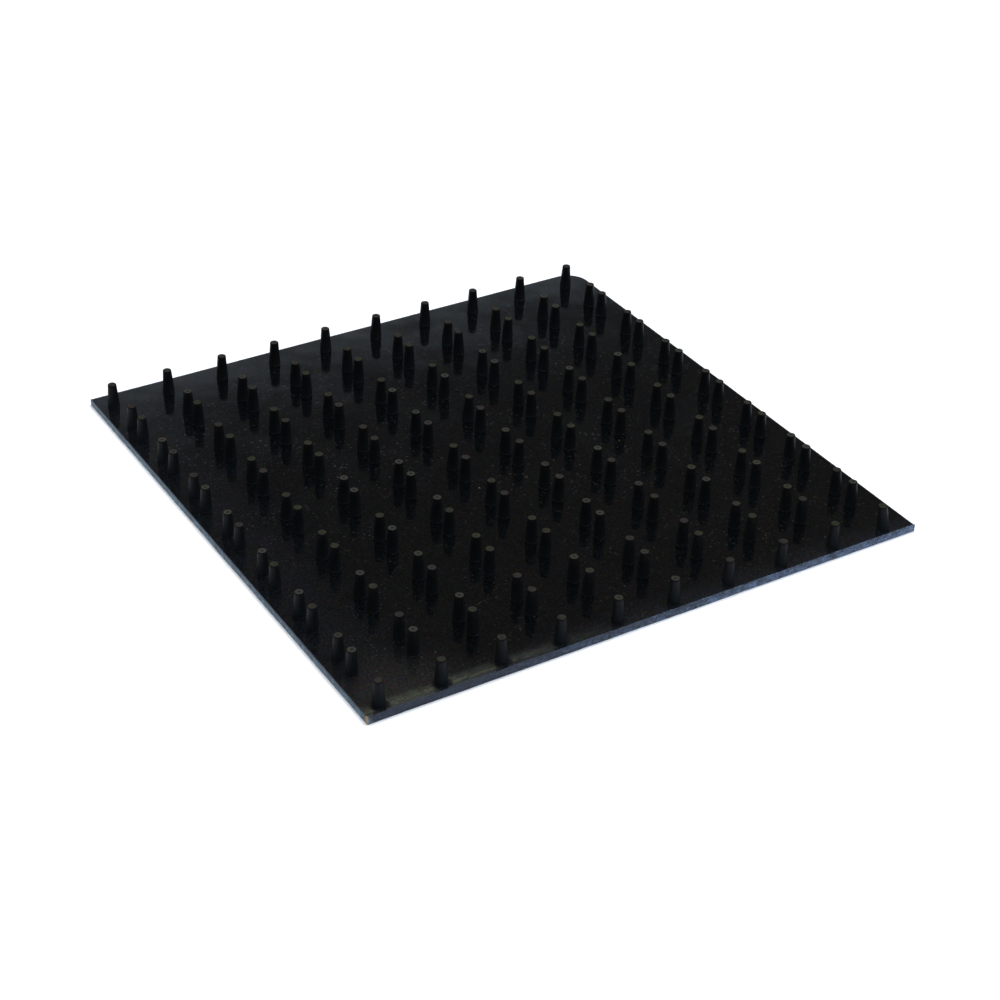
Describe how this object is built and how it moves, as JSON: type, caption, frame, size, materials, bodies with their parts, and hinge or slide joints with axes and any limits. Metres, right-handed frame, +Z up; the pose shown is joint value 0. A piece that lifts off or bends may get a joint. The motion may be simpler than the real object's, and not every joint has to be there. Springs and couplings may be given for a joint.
{
  "type": "rubber pin mat",
  "caption": "Nearly square black rubber mat with upright tapered pins in paired rows; it lies flat and holds what stands on it clear of the surface below.",
  "frame": {"origin": "centre of the flat underside's bounding rectangle, on the surface that the mat lies on", "axes": "+Z up through the pins; +X along a row of pins, towards the moulded right edge; -Y towards the front cut edge, so the rounded corner is at +X +Y"},
  "size_m": [0.1472, 0.147, 0.0082],
  "materials": {
    "sheet_rubber": "semi-gloss moulded black rubber, fine grain on the cut edges",
    "pin_rubber": "satin moulded black rubber, matte dusty tips"
  },
  "bodies": {
    "root": {"base_sheet": "sheet_rubber", "pin_row_01": "pin_rubber", "pin_row_02": "pin_rubber", "pin_row_03": "pin_rubber", "pin_row_04": "pin_rubber", "pin_row_05": "pin_rubber", "pin_row_06": "pin_rubber", "pin_row_07": "pin_rubber", "pin_row_08": "pin_rubber", "pin_row_09": "pin_rubber", "pin_row_10": "pin_rubber", "pin_row_11": "pin_rubber", "pin_row_12": "pin_rubber", "pin_row_13": "pin_rubber", "pin_row_14": "pin_rubber", "pin_row_15": "pin_rubber", "pin_row_16": "pin_rubber"}
  },
  "joints": []
}
